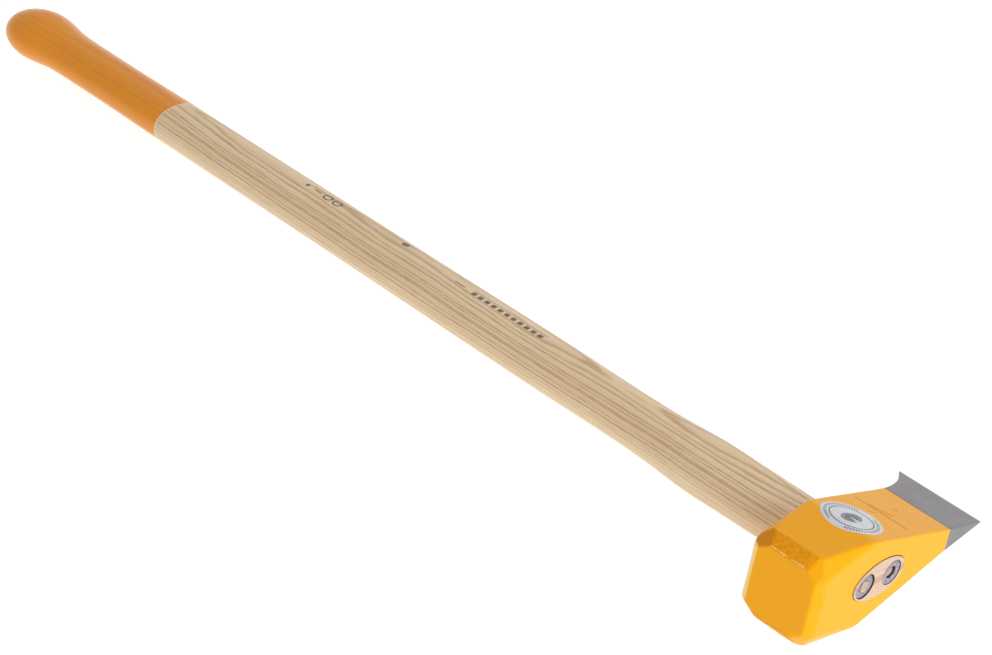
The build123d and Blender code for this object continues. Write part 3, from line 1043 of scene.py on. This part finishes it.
def label_finish(colours):
    """Polyester film, flexo printed: silver white and satin, a dark ring, ticks and a split log."""
    finish, add, own = new_finish("printed_polyester_film")
    axes = add("SeparateXYZ", (own,)).node
    u = add("Math", (axes.outputs["X"], -LABEL_X), operation="ADD")
    v = add("Math", (axes.outputs["Z"], -LABEL_Z), operation="ADD")
    place = add("CombineXYZ", {"X": u, "Y": v})
    reach = add("VectorMath", (place,), output="Value", operation="LENGTH")
    angle = add("Math", (v, u), operation="ARCTAN2")

    # The border's ring, then the log's end: a dark oval, ringed and split by a pale wedge.
    border_radius, tick_radius, log_radius, bark_radius = 15.6, 18.7, 9.2, 7.3
    border = add("Math", (reach, border_radius, 0.5), operation="COMPARE")
    squashed = add("VectorMath", (place, (1, 1.45, 0)), operation="MULTIPLY")
    oval = add("VectorMath", (squashed,), output="Value", operation="LENGTH")
    log = add("Math", (oval, log_radius), operation="LESS_THAN")
    groove = add("Math", (oval, bark_radius, 0.25), operation="COMPARE")
    log = add("Math", (log, groove), operation="SUBTRACT")
    spread = add("Math", (u,), operation="ABSOLUTE")
    height = add("Math", (v, 0.2, 0.4), operation="MULTIPLY_ADD")
    uncut = add("Math", (spread, height), operation="GREATER_THAN")
    log = add("Math", (log, uncut), operation="MULTIPLY")
    ink = add("Math", (border, log), operation="ADD")

    # Ticks round the border, 60 to the turn, left out at the two sides.
    tick = add("Math", (angle, 60 / (2 * pi)), operation="MULTIPLY")
    tick = add("Math", (tick,), operation="FRACT")
    tick = add("Math", (tick, 0.5), operation="LESS_THAN")
    band = add("Math", (reach, tick_radius, 1.15), operation="COMPARE")
    tick = add("Math", (tick, band), operation="MULTIPLY")
    tall = add("Math", (v,), operation="ABSOLUTE")
    tall = add("Math", (tall, 6.0), operation="GREATER_THAN")
    tick = add("Math", (tick, tall), operation="MULTIPLY")
    ink = add("Math", (ink, tick), operation="ADD", use_clamp=True)
    ink = add("Math", (ink, 0.93), operation="MULTIPLY")

    sheen = add("TexNoise", {"Vector": own, "Scale": 1 / 7, "Detail": 2.0})
    film = add("Mix", (sheen, linear(colours.film), linear(colours.film_shade)), data_type="RGBA")
    colour = add("Mix", (ink, film, linear(colours.ink)), data_type="RGBA")
    creep = add("TexNoise", {"Vector": own, "Scale": 1 / 5, "Detail": 2.0})
    bump = add("Bump", {"Height": creep, "Distance": 0.06 * MM})
    shader = add("BsdfPrincipled", {"Base Color": colour, "Roughness": 0.3, "Normal": bump, "IOR": 1.5})
    add("OutputMaterial", {"Surface": shader})
    return finish


def table_finish(colours):
    """Matt white acrylic, lit from below as a photographer's table is."""
    finish, add, _ = new_finish("lit_white_acrylic")
    shader = add(
        "BsdfPrincipled",
        {
            "Base Color": linear(colours.table),
            "Roughness": 0.6,
            "Emission Color": linear(colours.table_light),
            "Emission Strength": bpy.context.scene.maul_stage.table_glow,
        },
    )
    add("OutputMaterial", {"Surface": shader})
    return finish


# ---- Settings -----------------------------------------------------------------------------


def number(name, description, default, **settings):
    """A number property. The settings are its unit or subtype and its limits."""
    return FloatProperty(name=name, description=description, default=default, **settings)


def length(name, description, millimetres):
    """A length property, given in millimetres and kept in metres."""
    return number(name, description, millimetres * MM, unit="LENGTH", precision=5)


def hex_colour(name, description, value):
    """A colour property, kept as an sRGB hex value."""
    return StringProperty(name=name, description=description, default=value)


class MaulHeadSizes(bpy.types.PropertyGroup):
    """Sizes of the head's skin."""

    edge_radius: length("Edge radius", "Radius of the lacquered edges", 1.2)
    unevenness: length("Unevenness", "How far the forged faces wander", 0.05)
    bevel_roughness: length("Bevel roughness", "Depth of the rough skin beside the poll", 0.2)


class MaulHandleSizes(bpy.types.PropertyGroup):
    """Sizes of the handle's coat and grain."""

    coat_length: length("Coat length", "How much of the grip is dipped", 195.4)
    coat_thickness: length("Coat thickness", "How far the dip coat stands off the wood", 0.12)
    ring_width: length("Ring width", "Thickness of a year's growth", 2.3)
    ring_bow: length("Ring bow", "How far the rings bow along the handle", 3.4)
    ring_tilt: number("Ring tilt", "Lean of the rings to the edge side", radians(12), subtype="ANGLE")
    ring_contrast: number(
        "Ring contrast", "Strength of the dark lines", 0.75, min=0, max=1, subtype="FACTOR"
    )


class MaulLabelSizes(bpy.types.PropertyGroup):
    """Sizes of the label."""

    radius: length("Radius", "Radius of the round label", 22)
    thickness: length("Thickness", "Thickness of the film", 0.16)


class MaulColours(bpy.types.PropertyGroup):
    """Colours of every finish."""

    lacquer: hex_colour("Lacquer", "Yellow enamel", "#fbb000")
    lacquer_deep: hex_colour("Deep lacquer", "Enamel where it is thick", "#f6a600")
    lacquer_pit: hex_colour("Lacquer pits", "Enamel in pits and grit", "#a86400")
    lacquer_rough: hex_colour("Rough lacquer", "Enamel over the rough bevels", "#f59e00")
    # Painted shade: the darker colour on the underside's poll corners.
    lacquer_corner_shade: hex_colour("Thick lacquer", "Enamel where drops hung", "#dc8c04")
    # Painted highlight: the pale colour along the burr and the underside's far edges.
    lacquer_highlight: hex_colour("Thin lacquer", "Enamel drawn thin over burr and edges", "#ffdc88")
    # The eye wall: bare steel, painted near-black as shade in the gap where the wood has shrunk.
    bore: hex_colour("Eye wall", "Dirty bare steel inside the eye", "#2c2119")
    steel_dark: hex_colour("Dark steel", "Bit steel in its scratches", "#6e6b6c")
    steel_light: hex_colour("Light steel", "Bit steel between scratches", "#a4a1a2")
    ash_pale: hex_colour("Pale ash", "Late wood", "#f3dcb8")
    ash_warm: hex_colour("Warm ash", "Late wood in warmer zones", "#e9c799")
    ash_line: hex_colour("Ash line", "Early wood lines", "#b88f62")
    ash_pore: hex_colour("Ash pores", "Open pores", "#8a6540")
    ash_raw: hex_colour("Raw ash", "Line beside the dip coat", "#f0e2cc")
    end_pale: hex_colour("End grain", "Sawn end of the handle", "#cfb59c")
    end_dark: hex_colour("End grain pores", "Pores of the sawn end", "#9c7765")
    kerf: hex_colour("Kerf wedge", "Wooden wedge", "#c9a78c")
    # Painted shade: near-black on the wood's walls down the gaps round its end and rings.
    painted_shade: hex_colour("Grime", "Dirt in the gaps of the trimmed end", "#1d140d")
    dip: hex_colour("Dip coat", "Orange lacquer of the grip", "#f39a08")
    dip_deep: hex_colour("Deep dip coat", "Dip coat over early wood", "#cf7200")
    ring_dark: hex_colour("Dark ring", "Ring wedge, bruised", "#85808a")
    ring_light: hex_colour("Light ring", "Ring wedge, turned", "#b7b3bd")
    film: hex_colour("Label film", "Silver-white film", "#dcdee4")
    film_shade: hex_colour("Label shade", "Film where it dulls", "#c3c7d0")
    ink: hex_colour("Ink", "Printing ink", "#2e2c2e")
    table: hex_colour("Table", "Studio table", "#8c8c8c")
    table_light: hex_colour("Table light", "Light that comes up through the table", "#ffffff")


class MaulStageSettings(bpy.types.PropertyGroup):
    """The table, the lights and the camera."""

    table_glow: number("Table glow", "Light from under the table", 0.9, min=0)
    sky: number("Surrounding light", "Strength of the white surroundings", 0.62, min=0)
    side_power: number("Side light", "Power of the soft box beside the head", 15, unit="POWER")
    back_power: number("Back light", "Power of the soft box behind", 6, unit="POWER")
    azimuth: number("Azimuth", "Where the camera stands round the maul", radians(-44.64), subtype="ANGLE")
    elevation: number("Elevation", "Camera's angle over the table", radians(42.6), subtype="ANGLE")
    roll: number("Roll", "Camera's turn about its own axis", radians(-0.904), subtype="ANGLE")
    distance: number("Distance", "From the camera to its target", 2.26, unit="LENGTH")
    lens: number("Lens", "Focal length in mm", 114.63)


# ---- Operators ----------------------------------------------------------------------------


class MAUL_OT_head(bpy.types.Operator):
    """Build the lacquered forging and its bare bit"""

    bl_idname = "maul.head"
    bl_label = "Head"

    def execute(self, context):
        scene = context.scene
        skin = forging_skin(scene.maul_head)
        finish = lacquer_finish(scene.maul_colours)
        forging = add_piece("head_forging", [skin], finish, ["head"])
        shares = {"score": lambda p: score_depth(p) / 0.3, "burr": burr_height, "bore": bare_wall_shade_share}
        shares |= {"painted_highlight": edge_highlight_share, "thick": corner_shade_share}
        paint_points(forging, shares)
        add_piece("ground_bit", [bit_skin()], bit_finish(scene.maul_colours), ["head"])
        return {"FINISHED"}


class MAUL_OT_handle(bpy.types.Operator):
    """Build the ash handle with its dipped grip and sawn end"""

    bl_idname = "maul.handle"
    bl_label = "Handle"

    def execute(self, context):
        scene = context.scene
        sizes = scene.maul_handle
        finish = ash_finish(scene.maul_colours, sizes)
        parts = handle_parts(HANDLE_COLUMNS, sizes)
        handle = add_piece("ash_handle", parts, finish, ["handle"])
        paint_points(handle, {"painted_shade": gap_shade_share})
        return {"FINISHED"}


class MAUL_OT_wedges(bpy.types.Operator):
    """Build the wooden wedge in the kerf and the two steel ring wedges"""

    bl_idname = "maul.wedges"
    bl_label = "Wedges"

    def execute(self, context):
        colours = context.scene.maul_colours
        add_piece("kerf_wood", kerf_parts(), kerf_finish(colours), ["kerf_wedge"])
        rings = (
            ("ring_by_poll", POLL_RING, "ring_wedge_poll"),
            ("ring_by_edge", EDGE_RING, "ring_wedge_edge"),
        )
        for name, ring, node in rings:
            finish = ring_finish(f"turned_steel_{name}", ring, colours)
            add_piece(name, [ring_part(ring)], finish, [node])
        return {"FINISHED"}


class MAUL_OT_label(bpy.types.Operator):
    """Lay the round label over the crease of the cheek"""

    bl_idname = "maul.label"
    bl_label = "Label"

    def execute(self, context):
        scene = context.scene
        part = label_part(scene.maul_label)
        add_piece("cheek_label", [part], label_finish(scene.maul_colours), ["label"])
        return {"FINISHED"}


class MAUL_OT_stage(bpy.types.Operator):
    """Set the table, the lights and the camera"""

    bl_idname = "maul.stage"
    bl_label = "Stage"

    def execute(self, context):
        scene, stage = context.scene, context.scene.maul_stage
        mesh = bpy.data.meshes.new("table")
        half = 6.0
        corners = [(-half, -half, 0), (half, -half, 0), (half, half, 0), (-half, half, 0)]
        mesh.from_pydata(corners, [], [(0, 1, 2, 3)])
        mesh.materials.append(table_finish(scene.maul_colours))
        table = bpy.data.objects.new("table", mesh)
        scene.collection.objects.link(table)

        world = bpy.data.worlds.new("white_surroundings")
        world.use_nodes = True
        world.node_tree.nodes["Background"].inputs["Color"].default_value = (1, 1, 1, 1)
        world.node_tree.nodes["Background"].inputs["Strength"].default_value = stage.sky
        scene.world = world

        head = Vector(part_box("head")[0]).lerp(Vector(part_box("head")[1]), 0.5)
        boxes = (
            ("side_box", head + Vector((1.5, -0.1, 0.55)), head, 1.5, 1.2, stage.side_power),
            ("back_box", Vector((-0.2, 2.2, 1.5)), Vector((0, 0, 0)), 3.0, 1.6, stage.back_power),
        )
        for name, place, target, width, height, power in boxes:
            light = bpy.data.lights.new(name, "AREA")
            light.shape = "RECTANGLE"
            light.size, light.size_y, light.energy = width, height, power
            lamp = bpy.data.objects.new(name, light)
            lamp.location = place
            lamp.rotation_euler = (place - target).to_track_quat("Z", "Y").to_euler()
            scene.collection.objects.link(lamp)

        lens = bpy.data.cameras.new("camera")
        lens.lens, lens.sensor_width = stage.lens, 36
        lens.clip_end = 50
        camera = bpy.data.objects.new("camera", lens)
        target = Vector((0.09644, -0.0196, 0.030))
        flat = cos(stage.elevation)
        back = Vector((cos(stage.azimuth) * flat, sin(stage.azimuth) * flat, sin(stage.elevation)))
        camera.location = target + back * stage.distance
        turned = back.to_track_quat("Z", "Y") @ Quaternion((0, 0, 1), stage.roll)
        camera.rotation_euler = turned.to_euler()
        scene.collection.objects.link(camera)
        scene.camera = camera
        scene.view_settings.view_transform = "Standard"
        return {"FINISHED"}


class MAUL_PT_panel(bpy.types.Panel):
    """Lists the operators and settings of the maul"""

    bl_idname = "MAUL_PT_panel"
    bl_label = "Splitting maul"
    bl_space_type = "VIEW_3D"
    bl_region_type = "UI"
    bl_category = "Maul"

    def draw(self, context):
        for operator in OPERATORS:
            self.layout.operator(operator.bl_idname)
        for name, group in GROUPS:
            box = self.layout.box()
            box.label(text=group.__doc__.rstrip("."))
            for setting in group.__annotations__:
                box.prop(getattr(context.scene, name), setting)


GROUPS = (
    ("maul_head", MaulHeadSizes),
    ("maul_handle", MaulHandleSizes),
    ("maul_label", MaulLabelSizes),
    ("maul_colours", MaulColours),
    ("maul_stage", MaulStageSettings),
)
OPERATORS = (MAUL_OT_head, MAUL_OT_handle, MAUL_OT_wedges, MAUL_OT_label, MAUL_OT_stage)


def register():
    """Registers every class and hangs the settings on the scene."""
    for name, group in GROUPS:
        bpy.utils.register_class(group)
        setattr(bpy.types.Scene, name, PointerProperty(type=group))
    for operator in OPERATORS:
        bpy.utils.register_class(operator)
    bpy.utils.register_class(MAUL_PT_panel)


def unregister():
    """Takes back what register did."""
    bpy.utils.unregister_class(MAUL_PT_panel)
    for operator in reversed(OPERATORS):
        bpy.utils.unregister_class(operator)
    for name, group in reversed(GROUPS):
        delattr(bpy.types.Scene, name)
        bpy.utils.unregister_class(group)


def main():
    """Builds the maul and its stage."""
    register()
    bpy.ops.maul.head()
    bpy.ops.maul.handle()
    bpy.ops.maul.wedges()
    bpy.ops.maul.label()
    bpy.ops.maul.stage()


if __name__ == "__main__":
    main()
